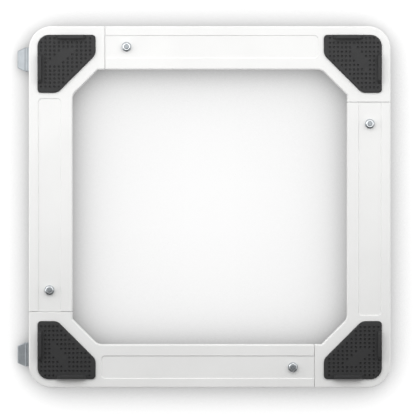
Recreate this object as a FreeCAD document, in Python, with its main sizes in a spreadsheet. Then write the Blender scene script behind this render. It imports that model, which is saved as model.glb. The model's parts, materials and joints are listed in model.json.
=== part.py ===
"""Adjustable stacking frame for two appliances, one above the other.

Four L-shaped plastic rails are laid out as a pinwheel. Each rail is a corner block, a long hollow arm
and a tongue: the arm slides over the next rail's tongue, and a clamp bolt locks the two. Each corner
has a rubber pad on top and a rubber foot below, and two steel tabs stand out of the left side.

Frame: millimetres, +Z up, +X to the right and +Y to the rear. The origin is on the floor, below the
middle of the whole footprint, tabs included. Every rail is built in its own corner frame: its outer
corner is the origin, its arm runs along +x and its tongue along +y.
"""
import FreeCAD, Part
import math
import os
from types import SimpleNamespace
import Sketcher

# Driving dimensions: alias, value in millimetres, what it is.
DIMENSIONS = [
    ("frame_side", 600, "outside of the closed frame, both ways"),
    ("arm_width", 72, "width of an arm"),
    ("rail_height", 35, "height of a moulding"),
    ("corner_round", 38, "outer corner of the frame, in plan"),
    ("gusset_leg", 42, "each leg of the diagonal across the inner corner"),
    ("gusset_blend", 16, "blend from the diagonal into the arm"),
    ("seam_land", 12, "straight edge from the diagonal to the seam"),
    ("edge_round", 2.5, "top edge of a moulding"),
    ("seam_bevel", 0.8, "bevel along both sides of a seam"),
    ("seam_gap", 0.5, "gap at a closed seam"),
    ("wall", 3, "side wall of a moulding"),
    ("roof", 5, "top wall of a moulding"),
    ("rib", 2.5, "thickness of a rib"),
    ("rib_lift", 2, "how far a rib stops above the wall's lower edge"),
    ("rib_pitch", 46, "widest spacing of the cross ribs"),
    ("recess_gap", 6.5, "from the end of the diagonal to the arm's recess"),
    ("recess_margin", 15.8, "outer edge to the recess"),
    ("recess_width", 37, "width of the recess"),
    ("recess_depth", 1.5, "depth of the recess"),
    ("recess_corner", 6, "corner of the recess's closed end"),
    ("recess_soft", 1.2, "soft edge around the recess"),
    ("tongue_length", 118, "tongue, from the seam to its end"),
    ("tongue_gap", 0.5, "clearance round the tongue"),
    ("tongue_top", 4, "top wall of the tongue"),
    ("slide_travel", 50, "how far each side pulls out"),
    ("bolt_inset", 36, "arm's free end to its clamp bolt"),
    ("bolt_radius", 4, "clamp bolt's thread, outside"),
    ("bolt_gap", 0.4, "clearance round the bolt in the moulding and in the slot"),
    ("thread_gap", 0.05, "running clearance between bolt and nut"),
    ("seat_gap", 0.1, "gap that is left where a clamp part bears on a sliding one"),
    ("head_radius", 10, "coach bolt's head"),
    ("head_height", 4.6, "coach bolt's domed head"),
    ("nut_flats", 13, "nut across its flats"),
    ("nut_height", 6.5, "nut"),
    ("nut_bevel", 0.9, "height of the bevel on the nut's corners"),
    ("bolt_proud", 2.4, "bolt's end above the nut"),
    ("bolt_tip", 0.8, "bevel on the bolt's end"),
    ("washer_radius", 8, "washer"),
    ("washer_height", 1.6, "washer"),
    ("pad_margin", 14.6, "outer edge to the top pad"),
    ("pad_side", 96, "top pad, both ways"),
    ("pad_end", 33, "short straight end of the top pad, before its diagonal"),
    ("pad_corner", 19, "top pad's outer corner"),
    ("pad_end_corner", 6, "top pad's end corners"),
    ("pad_blend", 15, "blends at the ends of the top pad's diagonal"),
    ("pad_seat", 2, "depth of the pad's seat in the block"),
    ("pad_proud", 4, "top pad above the block"),
    ("pad_edge", 1.5, "round edge of the top pad"),
    ("pad_gap", 0.3, "clearance round the top pad"),
    ("fence_near", 31.4, "pad's outer side to the near end of a fence"),
    ("fence_far", 15.6, "far end of a fence to the pad's end"),
    ("fence_width", 6.6, "thickness of the fence"),
    ("fence_height", 7, "fence above the pad"),
    ("fence_slope", 5, "sloping end of the fence"),
    ("peg_radius", 4, "pad's pegs"),
    ("peg_gap", 0.1, "clearance round a peg"),
    ("peg_length", 6, "pegs, below the pad"),
    ("peg_near", 17.4, "pad's outer sides to the pegs"),
    ("peg_far", 18.6, "pad's ends to the far pegs"),
    ("foot_proud", 3, "foot below the moulding"),
    ("foot_radius", 30, "foot"),
    ("foot_edge", 1, "round edge of the foot"),
    ("foot_place", 54, "foot's centre, from both outer edges"),
    ("plug_radius", 20, "foot's plug"),
    ("plug_length", 10, "foot's plug, up its socket"),
    ("plug_gap", 0.1, "clearance round the plug"),
    ("tab_place", 55, "middle of a tab, from the frame's nearer outer edge"),
    ("tab_width", 40, "steel tab"),
    ("tab_tip_width", 28.5, "steel tab at its tip"),
    ("tab_thick", 3, "steel tab"),
    ("tab_flat", 6.5, "flat part outside the frame"),
    ("tab_reach", 19.5, "whole part outside the frame, in plan"),
    ("tab_drop", 4.5, "how far the bent part drops"),
    ("tab_inside", 19, "part inside the frame, from the outer edge"),
    ("tab_level", 17, "underside of the tab above the floor"),
    ("tab_gap", 0.3, "clearance round the tab"),
    ("tab_edge", 0.9, "round edges of the tab"),
    ("screw_radius", 2.4, "tab's screws"),
    ("screw_gap", 0.05, "clearance in the screw's boss"),
    ("screw_hole_gap", 0.4, "clearance in the tab's holes"),
    ("screw_pitch", 24, "tab's screws, apart"),
    ("screw_inset", 11, "outer edge to the tab's screws"),
    ("screw_head_radius", 4.5, "screw's head"),
    ("screw_head", 2.6, "screw's head, height"),
    ("screw_depth", 9, "screw in its boss"),
    ("boss_radius", 5, "boss for a screw"),
]

# Corners of the frame: name, turn of its rail about Z, signs of its outer corner, side its arm runs
# along, and where its rail has a tab: on the arm's side, on the tongue's side, or nowhere.
CORNERS = [
    ("front_left", 0, -1, -1, "front", "tongue"),
    ("rear_left", -90, -1, 1, "left", "arm"),
    ("rear_right", -180, 1, 1, "rear", None),
    ("front_right", 90, 1, -1, "right", None),
]
TAB_NAMES = {"front_left": "front_tab", "rear_left": "rear_tab"}

ROOT_2 = math.sqrt(2)
BLEND_TANGENT = math.tan(math.radians(22.5))
HEXAGON = 6
HEXAGON_TURN = 30
SAME = 1e-4


class Size:
    """A length that carries its number and the sheet expression that gives it."""

    def __init__(self, number, text):
        self.number = number
        self.text = text

    def _join(self, other, sign, number):
        return Size(number, "(%s %s %s)" % (self.text, sign, as_size(other).text))

    def __add__(self, other):
        return self._join(other, "+", self.number + as_size(other).number)

    def __sub__(self, other):
        return self._join(other, "-", self.number - as_size(other).number)

    def __mul__(self, factor):
        return self._join(factor, "*", self.number * as_size(factor).number)

    def __truediv__(self, factor):
        return self._join(factor, "/", self.number / as_size(factor).number)


def as_size(value):
    """Turn a bare number, such as a factor, into a Size."""
    if isinstance(value, Size):
        return value
    return Size(float(value), repr(float(value)))


doc = FreeCAD.newDocument("stacking_frame")
sheet = doc.addObject("Spreadsheet::Sheet", "Sizes")
for row, (alias, value, meaning) in enumerate(DIMENSIONS, start=1):
    sheet.set("A%d" % row, meaning)
    sheet.set("B%d" % row, str(value))
    sheet.setAlias("B%d" % row, alias)
doc.recompute()
d = SimpleNamespace(**{
    alias: Size(float(getattr(sheet, alias)), "Sizes." + alias) for alias, _, _ in DIMENSIONS
})
ZERO = as_size(0)

# Levels above the floor.
rail_bottom = d.foot_proud
rail_top = d.foot_proud + d.rail_height
ceiling = rail_top - d.roof
tongue_roof = ceiling - d.tongue_gap
tongue_ceiling = tongue_roof - d.tongue_top
rib_bottom = rail_bottom + d.rib_lift
recess_floor = rail_top - d.recess_depth
pad_top = rail_top + d.pad_proud

# Places in a rail's own frame.
block_length = d.arm_width + d.gusset_leg + d.seam_land
arm_end = d.frame_side - block_length - d.seam_gap
bolt_x = d.frame_side - block_length - d.bolt_inset
recess_start = d.arm_width + d.gusset_leg + d.recess_gap
pad_far = d.pad_margin + d.pad_side
bolt_line = d.recess_margin + d.recess_width / 2
inner_line = d.arm_width - d.wall
tongue_end = block_length + d.tongue_length
tongue_side_low = d.wall + d.tongue_gap
tongue_side_high = inner_line - d.tongue_gap
last_rib = arm_end - d.tongue_length - d.rib * 2
foot_bore = d.plug_radius + d.plug_gap


def bind(item, name, size):
    """Bind one property of an object to the sheet."""
    item.setExpression(name, size.text)


def new_body(label):
    body = doc.addObject("PartDesign::Body", label)
    body.Label = label
    return body


def plane_of(body, role):
    for feature in body.Origin.OriginFeatures:
        if feature.Role == role:
            return feature
    raise RuntimeError("no plane " + role)


def new_sketch(body, name, level):
    """A sketch on the body's floor plane, raised to a level."""
    sketch = body.newObject("Sketcher::SketchObject", name)
    sketch.AttachmentSupport = (plane_of(body, "XY_Plane"), "")
    sketch.MapMode = "FlatFace"
    bind(sketch, "AttachmentOffset.Base.z", level)
    return sketch


def place_point(sketch, item, end, point):
    """Hold one point of a sketch at a pair of sizes, on the axes where a size is nothing."""
    for size, kind, axis in ((point[0], "DistanceX", -2), (point[1], "DistanceY", -1)):
        if size is ZERO:
            sketch.addConstraint(Sketcher.Constraint("PointOnObject", item, end, axis))
        else:
            number = sketch.addConstraint(Sketcher.Constraint(kind, -1, 1, item, end, size.number))
            sketch.setExpression("Constraints[%d]" % number, size.text)


def draw_outline(sketch, corners):
    """A closed outline, counter-clockwise. A corner is (x, y) or, where an arc leads to the next
    corner, (x, y, radius, turn), where turn is 1 for an arc that turns left and -1 for right."""
    ends = []
    for index, corner in enumerate(corners):
        following = corners[(index + 1) % len(corners)]
        start = FreeCAD.Vector(corner[0].number, corner[1].number, 0)
        finish = FreeCAD.Vector(following[0].number, following[1].number, 0)
        if len(corner) == 2:
            number = sketch.addGeometry(Part.LineSegment(start, finish), False)
            ends.append((number, 1, 2))
            continue
        radius, turn = corner[2], corner[3]
        chord = finish - start
        side = FreeCAD.Vector(-chord.y, chord.x, 0).normalize() * turn
        height = math.sqrt(max(radius.number ** 2 - (chord.Length / 2) ** 2, 0))
        centre = start + chord * 0.5 + side * height
        low, high = (start, finish) if turn == 1 else (finish, start)
        circle = Part.Circle(centre, FreeCAD.Vector(0, 0, 1), radius.number)
        low_angle = math.atan2(low.y - centre.y, low.x - centre.x)
        high_angle = math.atan2(high.y - centre.y, high.x - centre.x)
        number = sketch.addGeometry(Part.ArcOfCircle(circle, low_angle, high_angle), False)
        ends.append((number, 1, 2) if turn == 1 else (number, 2, 1))
        held = sketch.addConstraint(Sketcher.Constraint("Radius", number, radius.number))
        sketch.setExpression("Constraints[%d]" % held, radius.text)
    for index, (number, start_end, finish_end) in enumerate(ends):
        after = ends[(index + 1) % len(ends)]
        sketch.addConstraint(Sketcher.Constraint("Coincident", number, finish_end, after[0], after[1]))
        place_point(sketch, number, start_end, corners[index])


def rectangle(low_x, high_x, low_y, high_y):
    return [(low_x, low_y), (high_x, low_y), (high_x, high_y), (low_x, high_y)]


def draw_circle(sketch, centre, radius):
    point = FreeCAD.Vector(centre[0].number, centre[1].number, 0)
    circle = Part.Circle(point, FreeCAD.Vector(0, 0, 1), radius.number)
    number = sketch.addGeometry(circle, False)
    held = sketch.addConstraint(Sketcher.Constraint("Radius", number, radius.number))
    sketch.setExpression("Constraints[%d]" % held, radius.text)
    place_point(sketch, number, 3, centre)


def extrude(body, name, level, length, outlines, circles=(), cut=False):
    """Pad upwards from a level, or pocket downwards from it, by a length."""
    before = body.Shape.Volume if cut else 0
    sketch = new_sketch(body, name + "_sketch", level)
    for outline in outlines:
        draw_outline(sketch, outline)
    for centre, radius in circles:
        draw_circle(sketch, centre, radius)
    feature = body.newObject("PartDesign::Pocket" if cut else "PartDesign::Pad", name)
    feature.Profile = sketch
    bind(feature, "Length", length)
    doc.recompute()
    if cut and body.Shape.Volume >= before:
        raise RuntimeError(body.Label + ": " + name + " cuts nothing")
    return feature


def dress(body, kind, name, chosen, size):
    """Fillet or chamfer the edges of the body's last feature that chosen() picks."""
    base = body.Tip
    names = ["Edge%d" % n for n, edge in enumerate(base.Shape.Edges, start=1) if chosen(edge.BoundBox)]
    feature = body.newObject("PartDesign::" + kind, name)
    feature.Base = (base, names)
    bind(feature, "Radius" if kind == "Fillet" else "Size", size)
    doc.recompute()
    return feature


def near(a, b):
    return abs(a - b) < SAME


def lies_at(box, axis, size):
    """True for an edge that lies flat in one plane, such as Z at a level."""
    return near(getattr(box, axis + "Min"), size.number) and near(getattr(box, axis + "Max"), size.number)


def at_seam(box):
    """True for an edge in the arm's end face or in the shoulder that the next arm meets."""
    return lies_at(box, "X", arm_end) or lies_at(box, "Y", block_length)


def rail_outline():
    """Block and arm in plan. The diagonal across the inner corner is sharp on the tongue's side and
    blends into the arm on the other."""
    w = d.arm_width
    turn_in = d.gusset_blend * BLEND_TANGENT
    slant = turn_in / ROOT_2
    return [
        (d.corner_round, ZERO),
        (arm_end, ZERO),
        (arm_end, w),
        (w + d.gusset_leg + turn_in, w, d.gusset_blend, -1),
        (w + d.gusset_leg - slant, w + slant),
        (w, w + d.gusset_leg),
        (w, block_length),
        (ZERO, block_length),
        (ZERO, d.corner_round, d.corner_round, 1),
    ]


def hollow_outline():
    """Inside of the block and the arm, one wall in from the outline and open at the arm's end."""
    inner_round = d.corner_round - d.wall
    shift = d.wall * (ROOT_2 - 1)
    return [
        (d.corner_round, d.wall),
        (arm_end + d.wall, d.wall),
        (arm_end + d.wall, inner_line),
        (d.arm_width + d.gusset_leg - shift, inner_line),
        (inner_line, d.arm_width + d.gusset_leg - shift),
        (inner_line, block_length - d.wall),
        (d.wall, block_length - d.wall),
        (d.wall, d.corner_round, inner_round, 1),
    ]


def pad_outline(grow):
    """Top pad in plan, larger all round by grow: a square with its inner corner cut off."""
    low = d.pad_margin - grow
    high = pad_far + grow
    end = d.pad_margin + d.pad_end + grow * (ROOT_2 - 1)
    small = d.pad_end_corner
    blend_cut = d.pad_blend * BLEND_TANGENT
    slant = blend_cut / ROOT_2
    return [
        (low + d.pad_corner, low),
        (high - small, low, small, 1),
        (high, low + small),
        (high, end - blend_cut, d.pad_blend, 1),
        (high - slant, end + slant),
        (end + slant, high - slant, d.pad_blend, 1),
        (end - blend_cut, high),
        (low + small, high, small, 1),
        (low, high - small),
        (low, low + d.pad_corner, d.pad_corner, 1),
    ]


def recess_outline():
    """Recess along the arm: round corners at its closed end, open at the arm's free end."""
    low = d.recess_margin
    high = d.recess_margin + d.recess_width
    c = d.recess_corner
    return [
        (recess_start + c, low),
        (arm_end + d.wall, low),
        (arm_end + d.wall, high),
        (recess_start + c, high, c, 1),
        (recess_start, high - c),
        (recess_start, low + c, c, 1),
    ]


def tab_box(side, low_along, high_along, low_in, high_in):
    """A rectangle by its reach along and in from the side that has the tab."""
    if side == "arm":
        return rectangle(low_along, high_along, low_in, high_in)
    return rectangle(low_in, high_in, low_along, high_along)


def tab_screws(side):
    """Centres of the two screws of a tab, in the rail's frame."""
    middle = d.tab_place
    places = [middle - d.screw_pitch / 2, middle + d.screw_pitch / 2]
    if side == "arm":
        return [(along, d.screw_inset) for along in places]
    return [(d.screw_inset, along) for along in places]


def peg_places():
    near_side, far_side = d.pad_margin + d.peg_near, pad_far - d.peg_far
    return [(near_side, near_side), (far_side, near_side), (near_side, far_side)]


def build_rail(label, side):
    body = new_body(label)
    extrude(body, "outline", rail_bottom, d.rail_height, [rail_outline()])
    dress(body, "Fillet", "top_round",
          lambda box: lies_at(box, "Z", rail_top) and not at_seam(box), d.edge_round)
    dress(body, "Chamfer", "seam_bevels",
          lambda box: near(box.ZMax, rail_top.number) and at_seam(box), d.seam_bevel)
    extrude(body, "hollow", ceiling, ceiling - rail_bottom, [hollow_outline()], cut=True)

    # Ribs: across the arm, along its middle, and both ways through the foot's socket.
    first_rib = d.arm_width + d.gusset_leg
    gaps = math.ceil((last_rib.number - first_rib.number) / d.rib_pitch.number)
    step = (last_rib - first_rib) / gaps
    rib_height = ceiling - rib_bottom
    middle = d.arm_width / 2
    for count in range(gaps + 1):
        x = first_rib + step * count
        extrude(body, "cross_rib_%d" % count, rib_bottom, rib_height,
                [rectangle(x, x + d.rib, d.wall / 2, d.arm_width - d.wall / 2)])
    extrude(body, "long_rib", rib_bottom, rib_height,
            [rectangle(first_rib, last_rib + d.rib, middle, middle + d.rib)])
    low, high = d.foot_place - d.rib / 2, d.foot_place + d.rib / 2
    extrude(body, "socket_rib_x", rib_bottom, rib_height,
            [rectangle(d.wall / 2, first_rib + d.rib, low, high)])
    extrude(body, "socket_rib_y", rib_bottom, rib_height,
            [rectangle(low, high, d.wall / 2, block_length - d.wall / 2)])
    rib_place = d.arm_width + d.gusset_leg / 4
    rib_end = d.arm_width * 2 + d.gusset_leg - rib_place - d.rib - d.wall / 10
    extrude(body, "gusset_rib_x", rib_bottom, rib_height,
            [rectangle(d.wall / 2, rib_end, rib_place, rib_place + d.rib)])
    extrude(body, "gusset_rib_y", rib_bottom, rib_height,
            [rectangle(rib_place, rib_place + d.rib, d.wall / 2, rib_end)])
    centre = (d.foot_place, d.foot_place)
    extrude(body, "foot_socket", rail_bottom, ceiling - rail_bottom, [], [(centre, foot_bore + d.wall)])
    extrude(body, "foot_bore", ceiling, ceiling - rail_bottom, [], [(centre, foot_bore)], cut=True)

    # Tongue: a channel that is open below, with a slot for the neck of the clamp bolt.
    extrude(body, "tongue", rail_bottom, tongue_roof - rail_bottom,
            [rectangle(tongue_side_low, tongue_side_high, block_length - d.wall / 2, tongue_end)])
    inside_low = tongue_side_low + d.wall
    inside_high = tongue_side_high - d.wall
    extrude(body, "tongue_hollow", tongue_ceiling, tongue_ceiling - rail_bottom,
            [rectangle(inside_low, inside_high, block_length, tongue_end - d.wall)], cut=True)
    lane = d.head_radius + d.rib * 2
    for name, x in (("lane_rib_low", bolt_line - lane), ("lane_rib_high", bolt_line + lane - d.rib)):
        extrude(body, name, rib_bottom, tongue_ceiling - rib_bottom,
                [rectangle(x, x + d.rib, block_length - d.wall / 2, tongue_end - d.wall / 2)])
    neck = d.bolt_radius + d.bolt_gap
    slot_start = block_length + d.bolt_inset
    extrude(body, "slot", tongue_roof, d.tongue_top,
            [rectangle(bolt_line - neck, bolt_line + neck,
                       slot_start - neck, slot_start + d.slide_travel + neck)], cut=True)

    # Top: the arm's recess and bolt hole, and the pad's seat and peg holes.
    extrude(body, "recess", rail_top, d.recess_depth, [recess_outline()], cut=True)
    low, high = d.recess_margin.number, (d.recess_margin + d.recess_width).number
    dress(body, "Fillet", "recess_soft",
          lambda box: lies_at(box, "Z", rail_top) and not at_seam(box)
          and box.YMin > low - SAME and box.YMax < high + SAME
          and box.XMin > recess_start.number - SAME, d.recess_soft)
    extrude(body, "bolt_hole", recess_floor, d.roof, [], [((bolt_x, bolt_line), neck)], cut=True)
    extrude(body, "pad_seat", rail_top, d.pad_seat, [pad_outline(d.pad_gap)], cut=True)
    extrude(body, "peg_holes", rail_top, d.roof, [],
            [(place, d.peg_radius + d.peg_gap) for place in peg_places()], cut=True)
    if side:
        add_tab_holder(body, side)
    return body


def add_tab_holder(body, side):
    """Slot and screw bosses for a steel tab that goes in through the side wall."""
    half = d.tab_width / 2 + d.tab_gap
    slot_top = d.tab_level + d.tab_thick + d.tab_gap
    boss_bottom = d.tab_level + d.tab_thick
    along = (d.tab_place - half, d.tab_place + half)
    room = tab_box(side, along[0], along[1], ZERO, d.tab_inside + d.tab_gap)
    extrude(body, "tab_slot", slot_top, d.tab_thick + d.tab_gap * 2, [room], cut=True)
    head_room = tab_box(side, along[0], along[1], d.wall, d.tab_inside + d.tab_gap)
    extrude(body, "screw_room", d.tab_level, d.tab_level - rail_bottom, [head_room], cut=True)
    extrude(body, "screw_bosses", boss_bottom, ceiling - boss_bottom, [],
            [(place, d.boss_radius) for place in tab_screws(side)])
    extrude(body, "screw_holes", boss_bottom + d.screw_depth + d.wall / 2, d.screw_depth + d.wall / 2, [],
            [(place, d.screw_radius + d.screw_gap) for place in tab_screws(side)], cut=True)


def build_pad(label):
    """Rubber pad: a plate in its seat, a fence along each outer side and pegs beneath."""
    body = new_body(label)
    extrude(body, "plate", rail_top - d.pad_seat, d.pad_seat + d.pad_proud, [pad_outline(ZERO)])
    dress(body, "Fillet", "soft_edge", lambda box: lies_at(box, "Z", pad_top), d.pad_edge)
    low = d.pad_margin
    start, finish = low + d.fence_near, pad_far - d.fence_far
    fences = [rectangle(start, finish, low, low + d.fence_width),
              rectangle(low, low + d.fence_width, start, finish)]
    extrude(body, "fences", rail_top, d.pad_proud + d.fence_height, fences)
    crest = pad_top + d.fence_height
    dress(body, "Chamfer", "fence_ends",
          lambda box: lies_at(box, "Z", crest)
          and any(lies_at(box, axis, end) for axis in "XY" for end in (start, finish)), d.fence_slope)
    extrude(body, "pegs", rail_top - d.pad_seat - d.peg_length, d.peg_length, [],
            [(place, d.peg_radius) for place in peg_places()])
    return body


def build_foot(label):
    """Rubber foot: a disc under the block with a plug up the socket."""
    body = new_body(label)
    centre = (d.foot_place, d.foot_place)
    extrude(body, "disc", ZERO, d.foot_proud, [], [(centre, d.foot_radius)])
    dress(body, "Fillet", "soft_edge", lambda box: lies_at(box, "Z", ZERO), d.foot_edge)
    extrude(body, "plug", d.foot_proud, d.plug_length, [], [(centre, d.plug_radius)])
    return body


def build_washer(label):
    body = new_body(label)
    centre = (bolt_x, bolt_line)
    extrude(body, "ring", recess_floor, d.washer_height, [],
            [(centre, d.washer_radius), (centre, d.bolt_radius + d.bolt_gap)])
    return body


def sheet_box(name, low, high):
    """A box between two corners, each bound to the sheet."""
    box = doc.addObject("Part::Box", name)
    for axis, prop, a, b in zip("xyz", ("Length", "Width", "Height"), low, high):
        bind(box, prop, b - a)
        bind(box, "Placement.Base." + axis, a)
    return box


def sheet_cylinder(name, centre, bottom, radius, height):
    cylinder = doc.addObject("Part::Cylinder", name)
    bind(cylinder, "Radius", radius)
    bind(cylinder, "Height", height)
    for axis, size in zip("xyz", (centre[0], centre[1], bottom)):
        bind(cylinder, "Placement.Base." + axis, size)
    return cylinder


def sheet_cone(name, centre, bottom, low_radius, high_radius, height):
    cone = doc.addObject("Part::Cone", name)
    bind(cone, "Radius1", low_radius)
    bind(cone, "Radius2", high_radius)
    bind(cone, "Height", height)
    for axis, size in zip("xyz", (centre[0], centre[1], bottom)):
        bind(cone, "Placement.Base." + axis, size)
    return cone


def join(kind, label, shapes):
    """A boolean of several shapes: Part::MultiFuse or Part::MultiCommon."""
    joined = doc.addObject(kind, label)
    joined.Label = label
    joined.Shapes = shapes
    return joined


def build_bolt(label):
    """Coach bolt: domed head under the tongue, square neck in its slot, thread up through the nut."""
    centre = (bolt_x, bolt_line)
    head_top = tongue_ceiling - d.seat_gap
    neck_top = tongue_roof
    nut_top = recess_floor + d.washer_height + d.seat_gap + d.nut_height
    half = d.bolt_radius
    dome = sheet_cone(label + "_dome", centre, head_top - d.head_height,
                      d.head_radius * 0.45, d.head_radius, d.head_height * 0.7)
    rim = sheet_cylinder(label + "_rim", centre, head_top - d.head_height * 0.3,
                         d.head_radius, d.head_height * 0.3)
    neck = sheet_box(label + "_neck", (bolt_x - half, bolt_line - half, head_top),
                     (bolt_x + half, bolt_line + half, neck_top))
    shank = sheet_cylinder(label + "_shank", centre, head_top, d.bolt_radius,
                           nut_top + d.bolt_proud - d.bolt_tip - head_top)
    tip = sheet_cone(label + "_tip", centre, nut_top + d.bolt_proud - d.bolt_tip,
                     d.bolt_radius, d.bolt_radius - d.bolt_tip, d.bolt_tip)
    return join("Part::MultiFuse", label, [dome, rim, neck, shank, tip])


def build_nut(label):
    """Hexagon nut with bevelled corners, on its washer."""
    centre = (bolt_x, bolt_line)
    bottom = recess_floor + d.washer_height + d.seat_gap
    corner = d.nut_flats / math.sqrt(3)
    prism = doc.addObject("Part::Prism", label + "_prism")
    prism.Polygon = HEXAGON
    prism.Placement.Rotation = FreeCAD.Rotation(FreeCAD.Vector(0, 0, 1), HEXAGON_TURN)
    bind(prism, "Circumradius", corner)
    bind(prism, "Height", d.nut_height)
    for axis, size in zip("xyz", (bolt_x, bolt_line, bottom)):
        bind(prism, "Placement.Base." + axis, size)
    straight = d.nut_height - d.nut_bevel * 2
    low = sheet_cone(label + "_low", centre, bottom, d.nut_flats / 2, corner, d.nut_bevel)
    mid = sheet_cylinder(label + "_mid", centre, bottom + d.nut_bevel, corner, straight)
    high = sheet_cone(label + "_high", centre, bottom + d.nut_height - d.nut_bevel,
                      corner, d.nut_flats / 2, d.nut_bevel)
    barrel = join("Part::MultiFuse", label + "_barrel", [low, mid, high])
    hexagon = join("Part::MultiCommon", label + "_hexagon", [prism, barrel])
    bore = sheet_cylinder(label + "_bore", centre, bottom, d.bolt_radius + d.thread_gap, d.nut_height)
    nut = doc.addObject("Part::Cut", label)
    nut.Label = label
    nut.Base = hexagon
    nut.Tool = bore
    return nut


def build_tab(label):
    """Bent steel tab in its own frame: x = 0 is the frame's outer face and y = 0 the tab's middle.
    It goes flat through the wall, and outside it tapers and bends down."""
    body = new_body(label)
    half, tip = d.tab_width / 2, d.tab_tip_width / 2
    bend, end = ZERO - d.tab_flat, ZERO - d.tab_reach
    low, high = d.tab_level, d.tab_level + d.tab_thick
    section = body.newObject("Sketcher::SketchObject", "side_view")
    section.AttachmentSupport = (plane_of(body, "XZ_Plane"), "")
    section.MapMode = "FlatFace"
    draw_outline(section, [
        (end, low - d.tab_drop), (bend, low), (d.tab_inside, low),
        (d.tab_inside, high), (bend, high), (end, high - d.tab_drop)])
    sheet_metal = body.newObject("PartDesign::Pad", "sheet_metal")
    sheet_metal.Profile = section
    sheet_metal.SideType = "Symmetric"
    bind(sheet_metal, "Length", d.tab_width)
    doc.recompute()
    beyond = end - d.tab_thick
    tapers = [[(beyond, tip), (end, tip), (bend, half), (bend, half * 2), (beyond, half * 2)],
              [(beyond, ZERO - half * 2), (bend, ZERO - half * 2), (bend, ZERO - half),
               (end, ZERO - tip), (beyond, ZERO - tip)]]
    extrude(body, "tapers", high, high, tapers, cut=True)
    dress(body, "Fillet", "round_edges", is_tab_rim, d.tab_edge)
    holes = [(place, d.screw_radius + d.screw_hole_gap) for place in tab_screw_places()]
    extrude(body, "screw_holes", high, d.tab_thick, [], holes, cut=True)
    return body


def is_tab_rim(box):
    """True for an edge of the tab's two faces that runs round its outside part, not across a bend."""
    across_bend = near(box.XMin, box.XMax) and near(box.XMin, -d.tab_flat.number)
    upright = near(box.ZMin + d.tab_thick.number, box.ZMax)
    return box.XMax < SAME and not across_bend and not upright


def tab_screw_places():
    """Centres of the tab's screws, in the tab's frame."""
    return [(d.screw_inset, ZERO - d.screw_pitch / 2), (d.screw_inset, d.screw_pitch / 2)]


def build_screws(label):
    """Pan-head screws that hold a tab up against its bosses, in the tab's frame."""
    screws = []
    for count, centre in enumerate(tab_screw_places()):
        head = sheet_cone("%s_head_%d" % (label, count), centre, d.tab_level - d.screw_head,
                          d.screw_head_radius * 0.7, d.screw_head_radius, d.screw_head)
        shank = sheet_cylinder("%s_shank_%d" % (label, count), centre, d.tab_level,
                               d.screw_radius, d.tab_thick + d.screw_depth)
        screws.append(join("Part::MultiFuse", "%s_%d" % (label, count), [head, shank]))
    group = doc.addObject("Part::Compound", label)
    group.Label = label
    group.Links = screws
    return group


def place_item(item, turn, x, y):
    """Turn an item about Z and move its own origin to (x, y)."""
    item.Placement = FreeCAD.Placement(FreeCAD.Vector(), FreeCAD.Rotation(FreeCAD.Vector(0, 0, 1), turn))
    bind(item, "Placement.Base.x", x)
    bind(item, "Placement.Base.y", y)


nodes = []
half_side = d.frame_side / 2
middle_x = d.tab_reach / 2
for corner, turn, sign_x, sign_y, side_name, tab_side in CORNERS:
    corner_x = middle_x + half_side * sign_x
    pieces = [
        build_rail(corner + "_rail", tab_side),
        build_pad(corner + "_pad"),
        build_foot(corner + "_foot"),
        build_washer(side_name + "_clamp_washer"),
        build_bolt(side_name + "_clamp_bolt"),
        build_nut(side_name + "_clamp_nut"),
    ]
    for piece in pieces:
        place_item(piece, turn, corner_x, half_side * sign_y)
    if tab_side:
        tab_pieces = [build_tab(TAB_NAMES[corner]), build_screws(TAB_NAMES[corner] + "_screws")]
        for piece in tab_pieces:
            place_item(piece, 0, middle_x - half_side, (half_side - d.tab_place) * sign_y)
        pieces += tab_pieces
    nodes += pieces
doc.recompute()

for item in doc.Objects:
    if "Invalid" in item.State or "Error" in item.State:
        raise RuntimeError("failed object: " + item.Label)
for node in nodes:
    if node.Shape.isNull() or not node.Shape.isValid() or not node.Shape.Solids:
        raise RuntimeError("bad shape: " + node.Label)
os.makedirs("parts", exist_ok=True)
for node in nodes:
    node.Shape.exportStep("parts/%s.step" % node.Label)
    print(node.Label, len(node.Shape.Solids), round(node.Shape.Volume))
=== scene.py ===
# %% [markdown]
# # An adjustable stacking frame, finished for a close look
#
# The object is the flat frame that goes between two appliances standing one on the other. Four white
# mouldings slide into each other, a rubber pad sits in each corner, and a nut clamps each sliding joint.
# The design already exists as a frame of solid parts. This lesson keeps the mouldings, gives them a
# finish, and models again the pieces whose small shapes catch the light: pads, feet, nuts, bolts,
# washers and steel tabs.

# %% Load the frame
import json
import math

import bmesh
import bpy
from mathutils import Matrix, Vector


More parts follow.
